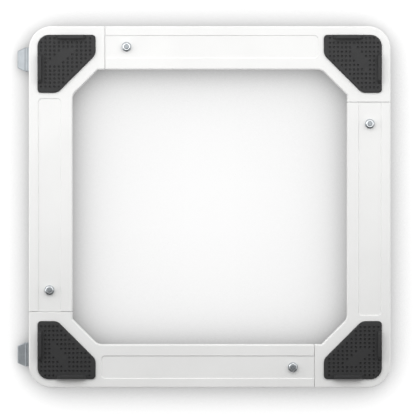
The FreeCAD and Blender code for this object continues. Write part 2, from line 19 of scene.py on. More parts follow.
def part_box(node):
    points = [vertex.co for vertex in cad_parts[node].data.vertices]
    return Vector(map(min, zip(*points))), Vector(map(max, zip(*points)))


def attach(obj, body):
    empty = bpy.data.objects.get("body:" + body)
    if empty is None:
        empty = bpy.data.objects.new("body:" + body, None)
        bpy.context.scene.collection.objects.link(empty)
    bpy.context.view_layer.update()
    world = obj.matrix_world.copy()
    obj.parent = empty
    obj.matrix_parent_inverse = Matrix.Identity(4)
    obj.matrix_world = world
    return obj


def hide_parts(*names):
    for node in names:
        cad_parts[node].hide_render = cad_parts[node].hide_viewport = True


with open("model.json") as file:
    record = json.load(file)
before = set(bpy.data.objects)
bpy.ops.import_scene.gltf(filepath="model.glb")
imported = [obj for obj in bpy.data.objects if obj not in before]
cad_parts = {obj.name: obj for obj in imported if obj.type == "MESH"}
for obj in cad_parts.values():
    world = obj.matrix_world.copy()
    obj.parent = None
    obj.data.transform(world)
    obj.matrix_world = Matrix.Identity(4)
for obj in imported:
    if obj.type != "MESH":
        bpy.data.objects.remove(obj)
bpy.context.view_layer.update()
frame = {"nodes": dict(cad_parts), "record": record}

# %% [markdown]
# ## Where things are
#
# Every size is written in millimetres and multiplied by MM, because Blender works in metres. Places
# come from the boxes of the loaded parts, so a piece always lands where the design has it. Each corner
# repeats the same rail, turned by a quarter each time: its arm runs along its own x and its tongue
# along its own y. The sliding side of a joint is named for the side of the frame that it is on.

# %% Corners and sides
MM = 0.001
CORNERS = {
    "front_left": {"turn": 0, "side": "front", "outer": (0, 0)},
    "rear_left": {"turn": -90, "side": "left", "outer": (0, 1)},
    "rear_right": {"turn": 180, "side": "rear", "outer": (1, 1)},
    "front_right": {"turn": 90, "side": "right", "outer": (1, 0)},
}
TABS = ("front_tab", "rear_tab")

# How far a cutting tool stands out of what it cuts, and how far a joined piece sinks into the other.
OVERCUT = 1 * MM
OVERLAP = 0.5 * MM

rail_low, rail_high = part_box("front_left_rail")
rail_top = rail_high.z
frame_left = rail_low.x
print("rail top at", round(rail_top / MM, 2), "mm")

# %% [markdown]
# ## Small tools for modelling
#
# Modelling by hand always goes the same way: add a primitive, enter edit mode, select faces or edges by
# where they are, and use an operator on them. These helpers say that in one line each. Everything is
# deselected before a primitive is added, because an operator acts on all that is selected.

# %% Helpers for objects
def lone(piece):
    """Select one object alone and make it active."""
    bpy.ops.object.select_all(action="DESELECT")
    piece.select_set(True)
    bpy.context.view_layer.objects.active = piece
    return piece


def settle(name):
    """Name the object that was just added, and put its place and scale into its mesh."""
    piece = lone(bpy.context.object)
    piece.name = name
    piece.data.name = name
    bpy.ops.object.transform_apply(location=True, rotation=True, scale=True)
    return piece


def add_block(name, low, high):
    """A box between two corners."""
    low, high = Vector(low), Vector(high)
    bpy.ops.object.select_all(action="DESELECT")
    bpy.ops.mesh.primitive_cube_add(size=1, location=(low + high) / 2, scale=high - low)
    return settle(name)


def add_drum(name, centre, radius, low, high, sides=64):
    """An upright cylinder between two heights."""
    bpy.ops.object.select_all(action="DESELECT")
    bpy.ops.mesh.primitive_cylinder_add(
        vertices=sides, radius=radius, depth=high - low,
        location=(centre[0], centre[1], (low + high) / 2))
    return settle(name)


def use_boolean(piece, tool, operation):
    """Join, cut or keep what is common with a tool, which is used up."""
    lone(piece)
    step = piece.modifiers.new("boolean", "BOOLEAN")
    step.operation = operation
    step.solver = "EXACT"
    step.object = tool
    bpy.ops.object.modifier_apply(modifier=step.name)
    bpy.data.objects.remove(tool)
    return piece


def join_all(name, pieces):
    """Put several objects' meshes into one object."""
    lone(pieces[0])
    for piece in pieces:
        piece.select_set(True)
    bpy.ops.object.join()
    pieces[0].name = name
    return pieces[0]


def copy_to(master, name, matrix=Matrix.Identity(4)):
    """A copy with its own mesh, moved by a matrix inside its mesh."""
    made = master.copy()
    made.data = master.data.copy()
    made.name = name
    made.data.name = name
    made.data.transform(matrix)
    bpy.context.scene.collection.objects.link(made)
    return made


def smooth(piece, degrees=35):
    """Smooth shading that keeps edges sharper than an angle."""
    lone(piece)
    bpy.ops.object.shade_smooth_by_angle(angle=math.radians(degrees))
    return piece


# %% Helpers for edit mode
def edit(piece):
    lone(piece)
    bpy.ops.object.mode_set(mode="EDIT")


def done():
    bpy.ops.object.mode_set(mode="OBJECT")


def pick(kind, chosen):
    """Select vertices, edges or faces of the edited mesh whose points, and normal, pass a test."""
    bpy.ops.mesh.select_mode(type=kind)
    bpy.ops.mesh.select_all(action="DESELECT")
    mesh = bmesh.from_edit_mesh(bpy.context.object.data)
    mesh.normal_update()
    items = {"VERT": mesh.verts, "EDGE": mesh.edges, "FACE": mesh.faces}[kind]
    for item in items:
        points = [item.co] if kind == "VERT" else [corner.co for corner in item.verts]
        normal = item.normal if kind != "EDGE" else (points[1] - points[0]).normalized()
        if chosen(points, normal):
            item.select = True
    mesh.select_flush_mode()
    bmesh.update_edit_mesh(bpy.context.object.data)


def all_at(points, axis, value):
    """True if every point lies at one value along an axis, to a hundredth of a millimetre."""
    return all(abs(point["xyz".index(axis)] - value) < 0.01 * MM for point in points)


def bevel(size, segments=3):
    bpy.ops.mesh.bevel(offset_type="OFFSET", offset=size, segments=segments, profile=0.5, affect="EDGES")


# %% [markdown]
# ## The rubber pad
#
# A pad is one rubber moulding: a plate with its inner corner cut off, a low fence along each outer
# side that stops an appliance's foot from walking off, a grid of square dimples for grip, and three
# pegs beneath. It could be a sculpted or displaced plane, but rubber tooling gives crisp, regular
# pits with a soft rim, so the plate is cut from a box, its corners are bevelled to their radii, and
# one small plug is copied over the grid and cut out of the plate.
#
# The dimples leave a plain stripe across the plate, parallel to the cut corner. The pad is modelled
# once, with its outer corner at the origin, and copied to the four corners.

# %% Pad sizes
pad_low, pad_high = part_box("front_left_pad")
pad_side = pad_high.x - pad_low.x
PAD_END = 33 * MM
PAD_CORNER = 19 * MM
PAD_END_CORNER = 6 * MM
PAD_BLEND = 15 * MM
# The cut turns by 45 degrees, and a bevel that gives a radius there starts this far from the corner.
BLEND_SETBACK = PAD_BLEND * math.tan(math.radians(22.5))
PAD_EDGE = 1.5 * MM
FENCE_HEIGHT = 7 * MM
FENCE_WIDTH = 6.6 * MM
FENCE_NEAR = 31.4 * MM
FENCE_FAR = 15.6 * MM
FENCE_SLOPE = 5 * MM
FENCE_EDGE = 0.9 * MM
FENCE_INSET = 0.02 * MM
PAD_SEAT = 2 * MM
plate_top = pad_high.z - FENCE_HEIGHT
plate_bottom = rail_top - PAD_SEAT
fence_span = (FENCE_NEAR, pad_side - FENCE_FAR)
print("pad", round(pad_side / MM, 1), "mm square, plate top at", round(plate_top / MM, 1), "mm")


# %% Pad plate
def make_plate():
    plate = add_block("plate", (0, 0, plate_bottom), (pad_side, pad_side, plate_top))
    edit(plate)
    bpy.ops.mesh.select_all(action="SELECT")
    bpy.ops.mesh.bisect(
        plane_co=(pad_side, PAD_END, 0), plane_no=(1, 1, 0), use_fill=True, clear_outer=True)

    def upright_near(places):
        return lambda points, along: abs(along.z) > 0.99 and any(
            (points[0].xy - Vector(place)).length < 0.1 * MM for place in places)

    rounds = [
        ([(0, 0)], PAD_CORNER, 12),
        ([(pad_side, 0), (0, pad_side)], PAD_END_CORNER, 8),
        ([(pad_side, PAD_END), (PAD_END, pad_side)], BLEND_SETBACK, 6),
    ]
    for places, size, segments in rounds:
        pick("EDGE", upright_near(places))
        bevel(size, segments)
    pick("EDGE", lambda points, along: all_at(points, "z", plate_top))
    bevel(PAD_EDGE, 4)
    done()
    return plate


# %% Fences
def make_fence(along_x):
    """A low wall with sloping ends and soft edges, along x or along y."""
    start, finish = fence_span
    low = plate_top - PAD_EDGE - 1 * MM
    if along_x:
        fence = add_block("fence", (start, FENCE_INSET, low), (finish, FENCE_WIDTH, pad_high.z))
    else:
        fence = add_block("fence", (FENCE_INSET, start, low), (FENCE_WIDTH, finish, pad_high.z))
    axis = "x" if along_x else "y"
    edit(fence)
    for end in (start, finish):
        pick("EDGE", lambda points, along: all_at(points, axis, end) and all_at(points, "z", pad_high.z))
        bevel(FENCE_SLOPE, 1)
    pick("EDGE", lambda points, along: sum(point.z for point in points) / 2 > plate_top + 1 * MM
         and abs(along.z) <= 0.99)
    bevel(FENCE_EDGE, 3)
    done()
    return fence


# %% Dimples
DIMPLE = 3.7 * MM
DIMPLE_DEPTH = 2 * MM
DIMPLE_CORNER = 0.7 * MM
FLARE_DEPTH = 0.3 * MM
FLARE_SHARE, FLOOR_SHARE = 0.86, 0.72
ROW_START, ROW_PITCH, ROWS = 6.2 * MM, 6.65 * MM, 13
COLUMN_START, COLUMN_PITCH, COLUMNS = 5.8 * MM, 7.4 * MM, 12
STRIPE_DIAGONALS = range(8, 11)
STRIPE_ROWS = range(3, 7)
EDGE_MARGIN = 3.4 * MM
FENCE_MARGIN = 2.4 * MM


def has_dimple(row, column):
    """Whether the grid has a dimple here: on the plate, off the fences and off the plain stripe."""
    x, y = dimple_place(row, column)
    start, finish = fence_span
    on_fence = any(
        across < FENCE_WIDTH + FENCE_MARGIN and start - FENCE_MARGIN < along < finish + FENCE_MARGIN
        for across, along in ((x, y), (y, x)))
    to_cut_corner = (pad_side + PAD_END - x - y) / math.sqrt(2)
    from_round = Vector((PAD_CORNER - x, PAD_CORNER - y))
    off_round = x < PAD_CORNER and y < PAD_CORNER and from_round.length > PAD_CORNER - EDGE_MARGIN
    on_stripe = row in STRIPE_ROWS and row + column in STRIPE_DIAGONALS
    inside = to_cut_corner > EDGE_MARGIN + 1 * MM and not off_round
    return inside and not on_fence and not on_stripe


def dimple_place(row, column):
    return ROW_START + ROW_PITCH * row, COLUMN_START + COLUMN_PITCH * column


def make_dimple_plug():
    """The tool for one dimple: square with cut corners, flared at the plate's surface."""
    half = DIMPLE / 2
    plug = add_block("plug", (-half, -half, plate_top), (half, half, plate_top + OVERCUT))
    edit(plug)
    pick("EDGE", lambda points, along: abs(along.z) > 0.99)
    bevel(DIMPLE_CORNER, 1)
    for drop, share in ((FLARE_DEPTH, FLARE_SHARE), (DIMPLE_DEPTH - FLARE_DEPTH, FLOOR_SHARE)):
        pick("FACE", lambda points, normal: normal.z < -0.99)
        bpy.ops.mesh.extrude_region_move(TRANSFORM_OT_translate={"value": (0, 0, -drop)})
        bpy.ops.transform.resize(value=(share, share, 1), center_override=(0, 0, 0))
    done()
    return plug


def make_dimple_grid():
    plug = make_dimple_plug()
    plugs = []
    for row in range(ROWS):
        for column in range(COLUMNS):
            if has_dimple(row, column):
                shift = Matrix.Translation((*dimple_place(row, column), 0))
                plugs.append(copy_to(plug, "plug_copy", shift))
    bpy.data.objects.remove(plug)
    print(len(plugs), "dimples on a pad")
    return join_all("plugs", plugs)


# %% Pegs
PEG_RADIUS = 4 * MM
PEG_EDGE = 0.8 * MM
PEG_NEAR, PEG_FAR = 17.4 * MM, 18.6 * MM


def make_peg(x, y):
    peg = add_drum("peg", (x, y), PEG_RADIUS, pad_low.z, plate_bottom + OVERLAP, sides=32)
    edit(peg)
    pick("EDGE", lambda points, along: all_at(points, "z", pad_low.z))
    bevel(PEG_EDGE, 3)
    done()
    return peg


# %% One whole pad
def make_pad():
    pad = make_plate()
    use_boolean(pad, make_dimple_grid(), "DIFFERENCE")
    for along_x in (True, False):
        use_boolean(pad, make_fence(along_x), "UNION")
    far = pad_side - PEG_FAR
    for x, y in ((PEG_NEAR, PEG_NEAR), (far, PEG_NEAR), (PEG_NEAR, far)):
        use_boolean(pad, make_peg(x, y), "UNION")
    return smooth(pad, 40)


pad_master = make_pad()
print("pad", len(pad_master.data.polygons), "faces")

# %% [markdown]
# ## The rubber foot
#
# Below each corner a round foot keeps the frame off the surface and stops it sliding. It is a turned
# shape, so it could be spun from a profile. Insetting the face of a cylinder again and again is just as
# exact and quicker to follow: every second ring is pushed up, which leaves concentric grip ridges.

# %% Foot
foot_low, foot_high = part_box("front_left_foot")
foot_radius = (foot_high.x - foot_low.x) / 2
FOOT_PROUD = 3 * MM
PLUG_RADIUS = 20 * MM
FOOT_EDGE = 1 * MM
RIDGES = 5
RIDGE_STEP = 2.6 * MM
GROOVE_DEPTH = 0.9 * MM
GROOVE_WALL = 0.4 * MM
FOOT_RIM = 3 * MM


def make_foot():
    foot = add_drum("foot", (0, 0), foot_radius, foot_low.z, FOOT_PROUD, sides=96)
    edit(foot)
    pick("EDGE", lambda points, along: all_at(points, "z", foot_low.z))
    bevel(FOOT_EDGE, 4)
    pick("FACE", lambda points, normal: normal.z > 0.99)
    bpy.ops.mesh.inset(thickness=foot_radius - PLUG_RADIUS, depth=0)
    bpy.ops.mesh.extrude_region_move(
        TRANSFORM_OT_translate={"value": (0, 0, foot_high.z - FOOT_PROUD)})
    pick("EDGE", lambda points, along: all_at(points, "z", foot_high.z))
    bevel(FOOT_EDGE, 3)
    pick("FACE", lambda points, normal: normal.z < -0.99)
    bpy.ops.mesh.inset(thickness=FOOT_RIM, depth=0)
    for ridge in range(RIDGES):
        bpy.ops.mesh.inset(thickness=GROOVE_WALL, depth=-GROOVE_DEPTH)
        bpy.ops.mesh.inset(thickness=RIDGE_STEP / 2, depth=0)
        bpy.ops.mesh.inset(thickness=GROOVE_WALL, depth=GROOVE_DEPTH)
        bpy.ops.mesh.inset(thickness=RIDGE_STEP / 2, depth=0)
    done()
    return smooth(foot, 35)


foot_master = make_foot()
print("foot", len(foot_master.data.polygons), "faces")

# %% [markdown]
# ## The clamp: nut, washer and coach bolt
#
# Each sliding joint is clamped by an M8 nut on a coach bolt. A real hexagon nut is forged, then its two
# faces are turned, and the turning cuts curved corners off the hexagon. The same cut is made here: the
# hexagon keeps only what it shares with a bevelled drum, and that gives the arcs by itself.
#
# The bolt's thread is a stack of rings with an M8 thread's pitch, a little shallower than the real one.
# It could be screwed round as a helix, but the helix then has to be cut flat and closed at both ends,
# and rings that are extruded one after the other are closed from the start.

# %% Clamp sizes
nut_low, nut_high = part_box("rear_clamp_nut")
washer_low, washer_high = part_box("rear_clamp_washer")
bolt_low, bolt_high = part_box("rear_clamp_bolt")
nut_flats = min(nut_high.x - nut_low.x, nut_high.y - nut_low.y)
nut_corner = nut_flats / math.sqrt(3)
CHAMFER_RISE = 1.1 * MM
CHAMFER_TOP = 0.85
BARREL_MARGIN = 1.001
BORE_BEVEL = 0.2 * MM
NUT_EDGE = 0.18 * MM
washer_radius = (washer_high.x - washer_low.x) / 2
head_radius = (bolt_high.x - bolt_low.x) / 2
THREAD = 4 * MM
THREAD_PITCH = 1.25 * MM
THREAD_DEPTH = 0.68 * MM
THREAD_CLEARANCE = 0.05 * MM
THREAD_FOOT = 1 * MM
# One pitch, upwards: out to the crest, along it, back to the root, and along that.
RISE, CREST = 0.4 * THREAD_PITCH, 0.12 * THREAD_PITCH
FALL, ROOT = 0.33 * THREAD_PITCH, 0.15 * THREAD_PITCH
HOLE_CLEARANCE = 0.4 * MM
WASHER_EDGE = 0.25 * MM
HEAD_HEIGHT = 4.6 * MM
HEAD_RIM = 1.38 * MM
HEAD_FLAT = 4.5 * MM
HEAD_EDGE = 0.4 * MM
DOME_RINGS = 7
NECK_HEIGHT = 4.1 * MM
NECK_EDGE = 0.6 * MM
NECK_SINK = 1 * MM
TIP_BEVEL = 0.8 * MM
print("nut", round(nut_flats / MM, 2), "mm across its flats")


# %% Nut
def make_nut():
    nut = add_drum("nut", (0, 0), nut_corner, nut_low.z, nut_high.z, sides=6)
    barrel = add_drum("barrel", (0, 0), nut_corner * BARREL_MARGIN, nut_low.z, nut_high.z, sides=96)
    edit(barrel)
    pick("EDGE", lambda points, along: abs(along.z) < 0.01)
    bpy.ops.mesh.bevel(offset_type="OFFSET", offset=CHAMFER_RISE, segments=1, affect="EDGES")
    pick("VERT", lambda points, normal: points[0].xy.length < nut_corner - CHAMFER_RISE / 2)
    bpy.ops.transform.resize(value=(CHAMFER_TOP, CHAMFER_TOP, 1), center_override=(0, 0, 0))
    done()
    use_boolean(nut, barrel, "INTERSECT")
    bore = add_drum(
        "bore", (0, 0), THREAD + THREAD_CLEARANCE, nut_low.z - OVERCUT, nut_high.z + OVERCUT, sides=48)
    use_boolean(nut, bore, "DIFFERENCE")
    edit(nut)
    pick("EDGE", lambda points, along: all(point.xy.length < THREAD + 0.2 * MM for point in points)
         and abs(along.z) < 0.5)
    bevel(BORE_BEVEL, 1)
    done()
    soften = lone(nut).modifiers.new("soften", "BEVEL")
    soften.width = NUT_EDGE
    soften.segments = 2
    soften.limit_method = "ANGLE"
    soften.angle_limit = math.radians(20)
    bpy.ops.object.modifier_apply(modifier=soften.name)
    return smooth(nut, 30)


nut_master = make_nut()
print("nut", len(nut_master.data.polygons), "faces")


# %% Washer
def make_washer():
    washer = add_drum("washer", (0, 0), washer_radius, washer_low.z, washer_high.z, sides=64)
    bore = add_drum(
        "bore", (0, 0), THREAD + HOLE_CLEARANCE, washer_low.z - OVERCUT, washer_high.z + OVERCUT, sides=64)
    use_boolean(washer, bore, "DIFFERENCE")
    edit(washer)
    pick("EDGE", lambda points, along: any(all_at(points, "z", end.z) for end in (washer_low, washer_high))
         and len({round(point.xy.length / (0.05 * MM)) for point in points}) == 1)
    bevel(WASHER_EDGE, 2)
    done()
    return smooth(washer, 40)


washer_master = make_washer()
print("washer", len(washer_master.data.polygons), "faces")


# %% Thread
def make_thread(low, high):
    """A threaded rod, built upwards ring by ring, with a bevelled tip."""
    root = THREAD - THREAD_DEPTH
    rod = add_drum("thread", (0, 0), root, low, low + THREAD_FOOT, sides=48)
    edit(rod)
    turns = math.floor((high - TIP_BEVEL - low - THREAD_FOOT) / THREAD_PITCH)
    rest = high - TIP_BEVEL - low - THREAD_FOOT - turns * THREAD_PITCH
    steps = [(root, rest)]
    steps += turns * [(THREAD, RISE), (THREAD, CREST), (root, FALL), (root, ROOT)]
    steps.append((THREAD - TIP_BEVEL, TIP_BEVEL))
    radius = root
    for following, rise in steps:
        pick("FACE", lambda points, normal: normal.z > 0.99)
        bpy.ops.mesh.extrude_region_move(TRANSFORM_OT_translate={"value": (0, 0, rise)})
        share = following / radius
        bpy.ops.transform.resize(value=(share, share, 1), center_override=(0, 0, 0))
        radius = following
    done()
    return rod


# %% Coach bolt
def make_bolt_head(head_top):
    """A straight rim, and below it rings that follow a dome down to a small flat."""
    head = add_drum("head", (0, 0), head_radius, head_top - HEAD_RIM, head_top, sides=64)
    edit(head)
    steepest = math.acos(HEAD_FLAT / head_radius)
    for ring in range(DOME_RINGS):
        start, finish = (steepest * count / DOME_RINGS for count in (ring, ring + 1))
        drop = (HEAD_HEIGHT - HEAD_RIM) * (math.sin(finish) - math.sin(start)) / math.sin(steepest)
        shrink = math.cos(finish) / math.cos(start)
        pick("FACE", lambda points, normal: normal.z < -0.99)
        bpy.ops.mesh.extrude_region_move(TRANSFORM_OT_translate={"value": (0, 0, -drop)})
        bpy.ops.transform.resize(value=(shrink, shrink, 1), center_override=(0, 0, 0))
    pick("EDGE", lambda points, along: all_at(points, "z", head_top))
    bevel(HEAD_EDGE, 2)
    done()
    return head


def make_bolt():
    head_top = bolt_low.z + HEAD_HEIGHT
    neck_top = head_top + NECK_HEIGHT
    bolt = make_thread(neck_top - OVERLAP, bolt_high.z)
    neck = add_block("neck", (-THREAD, -THREAD, head_top - NECK_SINK), (THREAD, THREAD, neck_top))
    edit(neck)
    pick("EDGE", lambda points, along: abs(along.z) > 0.99 or all_at(points, "z", neck_top))
    bevel(NECK_EDGE, 2)
    done()
    use_boolean(bolt, neck, "UNION")
    use_boolean(bolt, make_bolt_head(head_top), "UNION")
    return smooth(bolt, 30)


bolt_master = make_bolt()
print("bolt", len(bolt_master.data.polygons), "faces")

# %% [markdown]
# ## The steel tab
#
# Two strips of steel come out of the left side. Each is blanked from sheet, so its outline is plain and
# its edges are a little rounded. A flat block is cut across where it folds, its end is moved down and
# narrowed, and two shallow lines are pressed across its top face: one at the fold and one near the
# frame.

# %% Tab
tab_low, tab_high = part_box("front_tab")
TAB_THICK = 3 * MM
TAB_FLAT = 6.5 * MM
TAB_DROP = 4.5 * MM
TAB_TIP_WIDTH = 28.5 * MM
TAB_EDGE = 1.3 * MM
TAB_TIP_ROUND = 1.2 * MM
# Where the pressed lines are along x, and how deep each is.
PRESS_LINES = {-TAB_FLAT: 0.65 * MM, -2.6 * MM: 0.35 * MM}
PRESS_HALF = 0.9 * MM
SCREW_INSET = 11 * MM
SCREW_PITCH = 24 * MM
SCREW_RADIUS = 2.4 * MM
tab_width = tab_high.y - tab_low.y
tab_reach = frame_left - tab_low.x
tab_inside = tab_high.x - frame_left
tab_under = tab_high.z - TAB_THICK
print("tab", round(tab_width / MM, 1), "x", round((tab_reach + tab_inside) / MM, 1), "mm")


def make_tab():
    """A tab in its own place: x = 0 is the frame's outer face, y = 0 the tab's middle."""
    half = tab_width / 2
    tab = add_block("tab", (-tab_reach, -half, tab_under), (tab_inside, half, tab_high.z))
    edit(tab)
    bpy.ops.mesh.select_all(action="SELECT")
    bpy.ops.mesh.bisect(plane_co=(-TAB_FLAT, 0, 0), plane_no=(1, 0, 0))
    pick("FACE", lambda points, normal: normal.x < -0.99)
    bpy.ops.transform.translate(value=(0, 0, -TAB_DROP))
    bpy.ops.transform.resize(value=(1, TAB_TIP_WIDTH / tab_width, 1), center_override=(0, 0, 0))
    pick("EDGE", lambda points, along: all_at(points, "x", -tab_reach) and abs(along.z) > 0.9)
    bevel(TAB_TIP_ROUND, 3)
    pick("EDGE", is_tab_rim)
    bevel(TAB_EDGE, 3)
    for line, depth in PRESS_LINES.items():
        for place in (line - PRESS_HALF, line, line + PRESS_HALF):
            bpy.ops.mesh.select_all(action="SELECT")
            bpy.ops.mesh.bisect(plane_co=(place, 0, 0), plane_no=(1, 0, 0))
        pick("EDGE", lambda points, along: all_at(points, "x", line) and abs(along.y) > 0.99
             and points[0].z > tab_high.z - TAB_THICK / 2)
        bpy.ops.transform.translate(value=(0, 0, -depth))
    done()
    for sign in (-1, 1):
        hole = add_drum("hole", (SCREW_INSET, sign * SCREW_PITCH / 2), SCREW_RADIUS + HOLE_CLEARANCE,
                        tab_under - OVERCUT, tab_high.z + OVERCUT, sides=32)
        use_boolean(tab, hole, "DIFFERENCE")
    return smooth(tab, 12)


def is_tab_rim(points, along):
    """An edge that runs round the tab's faces, outside the frame: not upright, and not a fold."""
    outside = max(point.x for point in points) < tab_inside - 1 * MM or abs(along.x) > 0.5
    across = abs(along.y) > 0.99 and max(point.x for point in points) > -tab_reach + 1 * MM
    upright = abs(along.z) > 0.9
    return outside and not across and not upright


# %% Tab screws
screws_low, screws_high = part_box("front_tab_screws")
screw_head_radius = (screws_high.y - screws_low.y - SCREW_PITCH) / 2
SCREW_HEAD = 2.6 * MM
SCREW_ROUND = 1.3 * MM
SCREW_TIP = 0.8 * MM
SLOT_REACH = 2.4 * MM
SLOT_HALF = 0.45 * MM
SLOT_DEPTH = 1.5 * MM


def make_screws():
    """Two pan-head screws, driven up from below."""
    made = []
    for sign in (-1, 1):
        centre = (SCREW_INSET, sign * SCREW_PITCH / 2)
        head = add_drum("head", centre, screw_head_radius, screws_low.z, screws_low.z + SCREW_HEAD, sides=48)
        edit(head)
        pick("EDGE", lambda points, along: all_at(points, "z", screws_low.z))
        bevel(SCREW_ROUND, 5)
        done()
        for turn in (0, 90):
            slot = add_block("slot", (-SLOT_REACH, -SLOT_HALF, screws_low.z - OVERCUT),
                             (SLOT_REACH, SLOT_HALF, screws_low.z + SLOT_DEPTH))
            turned = Matrix.Rotation(math.radians(turn), 4, "Z")
            slot.data.transform(Matrix.Translation((*centre, 0)) @ turned)
            use_boolean(head, slot, "DIFFERENCE")
        shank = add_drum(
            "shank", centre, SCREW_RADIUS, screws_low.z + SCREW_HEAD - OVERLAP, screws_high.z, sides=32)
        edit(shank)
        pick("EDGE", lambda points, along: all_at(points, "z", screws_high.z))
        bevel(SCREW_TIP, 2)
        done()
        made.append(use_boolean(head, shank, "UNION"))
    return smooth(join_all("screws", made), 30)


tab_master = make_tab()
screws_master = make_screws()
print("tab", len(tab_master.data.polygons), "faces, screws", len(screws_master.data.polygons), "faces")

# %% [markdown]
# ## Putting every piece in its place
#
# Each master is copied to its places, the copy stands for the simple part of the design that it covers,
# and it rides on the same body as that part, so it moves with it.

# %% Place the pieces
bodies = frame["record"]["behaviour"]["bodies"]
body_of_node = {node: body for body, nodes in bodies.items() for node in nodes}
placed = {"pad": [], "foot": [], "bright": [], "dull": [], "tab": []}


def stand_in(master, name, node, matrix, group):
    piece = copy_to(master, name, matrix)
    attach(piece, body_of_node[node])
    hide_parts(node)
    placed[group].append(piece)


def middle_of(node):
    low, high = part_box(node)
    return Vector(((low.x + high.x) / 2, (low.y + high.y) / 2, 0))


for corner, facts in CORNERS.items():
    turn = Matrix.Rotation(math.radians(facts["turn"]), 4, "Z")
    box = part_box(corner + "_pad")
    outer = Vector((box[facts["outer"][0]].x, box[facts["outer"][1]].y, 0))
    stand_in(pad_master, corner + "_rubber_pad", corner + "_pad", Matrix.Translation(outer) @ turn,
             "pad")
    foot_place = Matrix.Translation(middle_of(corner + "_foot"))
    stand_in(foot_master, corner + "_rubber_foot", corner + "_foot", foot_place, "foot")
    side = facts["side"]
    clamp_place = Matrix.Translation(middle_of(side + "_clamp_washer")) @ turn
    for master, word, node, group in ((washer_master, "plain_washer", "washer", "dull"),
                                      (bolt_master, "coach_bolt", "bolt", "dull"),
                                      (nut_master, "hexagon_nut", "nut", "bright")):
        stand_in(master, side + "_" + word, side + "_clamp_" + node, clamp_place, group)
for tab_name in TABS:
    tab_place = Matrix.Translation((frame_left, middle_of(tab_name).y, 0))
    stand_in(tab_master, tab_name + "_strip", tab_name, tab_place, "tab")
    stand_in(screws_master, tab_name + "_screw_pair", tab_name + "_screws", tab_place, "bright")
for master in (pad_master, foot_master, nut_master, washer_master, bolt_master, tab_master, screws_master):
    bpy.data.objects.remove(master)
print({group: len(pieces) for group, pieces in placed.items()})

# %% [markdown]
# ## Materials
#
# A material starts from what the real one is. Its colour is written as the sRGB hex value that one would
# pick on a screen and is turned to linear light by one function, and its patterns are scaled from real
# millimetres. One small function adds a node with its settings and its links.

# %% Helpers for materials
def colour(hexadecimal):
    """Linear RGBA of an sRGB hex colour."""
    channels = [int(hexadecimal[at:at + 2], 16) / 255 for at in (1, 3, 5)]
    return (*[c / 12.92 if c <= 0.04045 else ((c + 0.055) / 1.055) ** 2.4 for c in channels], 1)


def add(tree, kind, inputs=None, **settings):
    """Add one node: settings are its properties, inputs are values or sockets that feed it."""
    made = tree.nodes.new("ShaderNode" + kind)
    for name, value in settings.items():
        setattr(made, name, value)
    for name, value in (inputs or {}).items():
        if isinstance(value, bpy.types.NodeSocket):
            tree.links.new(value, made.inputs[name])
        else:
            made.inputs[name].default_value = value
    return made


def per_metre(millimetres):
    """The noise scale that repeats about once in this many millimetres."""
    return 1 / (millimetres * MM)


def new_material(name):
    material = bpy.data.materials.new(name)
    material.use_nodes = True
    tree = material.node_tree
    return material, tree, tree.nodes["Principled BSDF"]


def noise(tree, millimetres, detail=2.0, stretch=None):
    """Noise over the object's own coordinates, with its grain size in millimetres."""
    place = add(tree, "TexCoord").outputs["Object"]
    if stretch:
        place = add(tree, "Mapping", {"Vector": place, "Scale": stretch}).outputs["Vector"]
    return add(tree, "TexNoise", {"Vector": place, "Scale": per_metre(millimetres), "Detail": detail})


def spread(tree, value, low, high):
    """Map a pattern's middle range to two values."""
    return add(tree, "MapRange", {"Value": value, "From Min": 0.3, "From Max": 0.7, "To Min": low,
                                  "To Max": high}).outputs["Result"]


def blend_colours(tree, value, first, second):
    ramp = add(tree, "ValToRGB", {"Fac": value})
    ramp.color_ramp.elements[0].position = 0.3
    ramp.color_ramp.elements[0].color = colour(first)
    ramp.color_ramp.elements[1].position = 0.7
    ramp.color_ramp.elements[1].color = colour(second)
    return ramp.outputs["Color"]


def finish_with(pieces, material):
    for piece in pieces:
        piece.data.materials.clear()
        piece.data.materials.append(material)


# %% [markdown]
# ### Moulded ABS
#
# The mouldings are ABS, an opaque white plastic. The tool's spark-eroded faces leave a fine satin grain,
# so reflections are soft, and the flow of the plastic leaves hardly visible changes in its gloss.

# %% White ABS
def make_abs():
    material, tree, shader = new_material("moulded_abs_satin_white")
    drift = noise(tree, 90, detail=3)
    grain = noise(tree, 0.9, detail=2)
    # The real grain is about 0.1 mm across. It is drawn at 0.9 mm so that it shows at all.
    bump = add(tree, "Bump", {"Height": grain.outputs["Fac"], "Strength": 0.06, "Distance": 0.05 * MM})
    plastic = blend_colours(tree, drift.outputs["Fac"], "#EBEBEA", "#EFEFEE")
    tree.links.new(plastic, shader.inputs["Base Color"])
    tree.links.new(spread(tree, drift.outputs["Fac"], 0.36, 0.46), shader.inputs["Roughness"])
    tree.links.new(bump.outputs["Normal"], shader.inputs["Normal"])
    shader.inputs["IOR"].default_value = 1.53
    return material


# %% [markdown]
# ### Moulded rubber
#
# Pads and feet are EPDM rubber filled with carbon black. It is nearly black, matt, and a little dusty
# where the mould release stays on it. The feet's rubber is the same with a rougher surface.

# %% Rubber
def make_rubber(name, dark, light, grain_size, roughness):
    material, tree, shader = new_material(name)
    dust = noise(tree, 14, detail=4)
    grain = noise(tree, grain_size, detail=3)
    bump = add(tree, "Bump", {"Height": grain.outputs["Fac"], "Strength": 0.35, "Distance": 0.12 * MM})
    tree.links.new(blend_colours(tree, dust.outputs["Fac"], dark, light), shader.inputs["Base Color"])
    tree.links.new(spread(tree, dust.outputs["Fac"], roughness - 0.05, roughness + 0.08),
                   shader.inputs["Roughness"])
    tree.links.new(bump.outputs["Normal"], shader.inputs["Normal"])
    shader.inputs["IOR"].default_value = 1.52
    return material


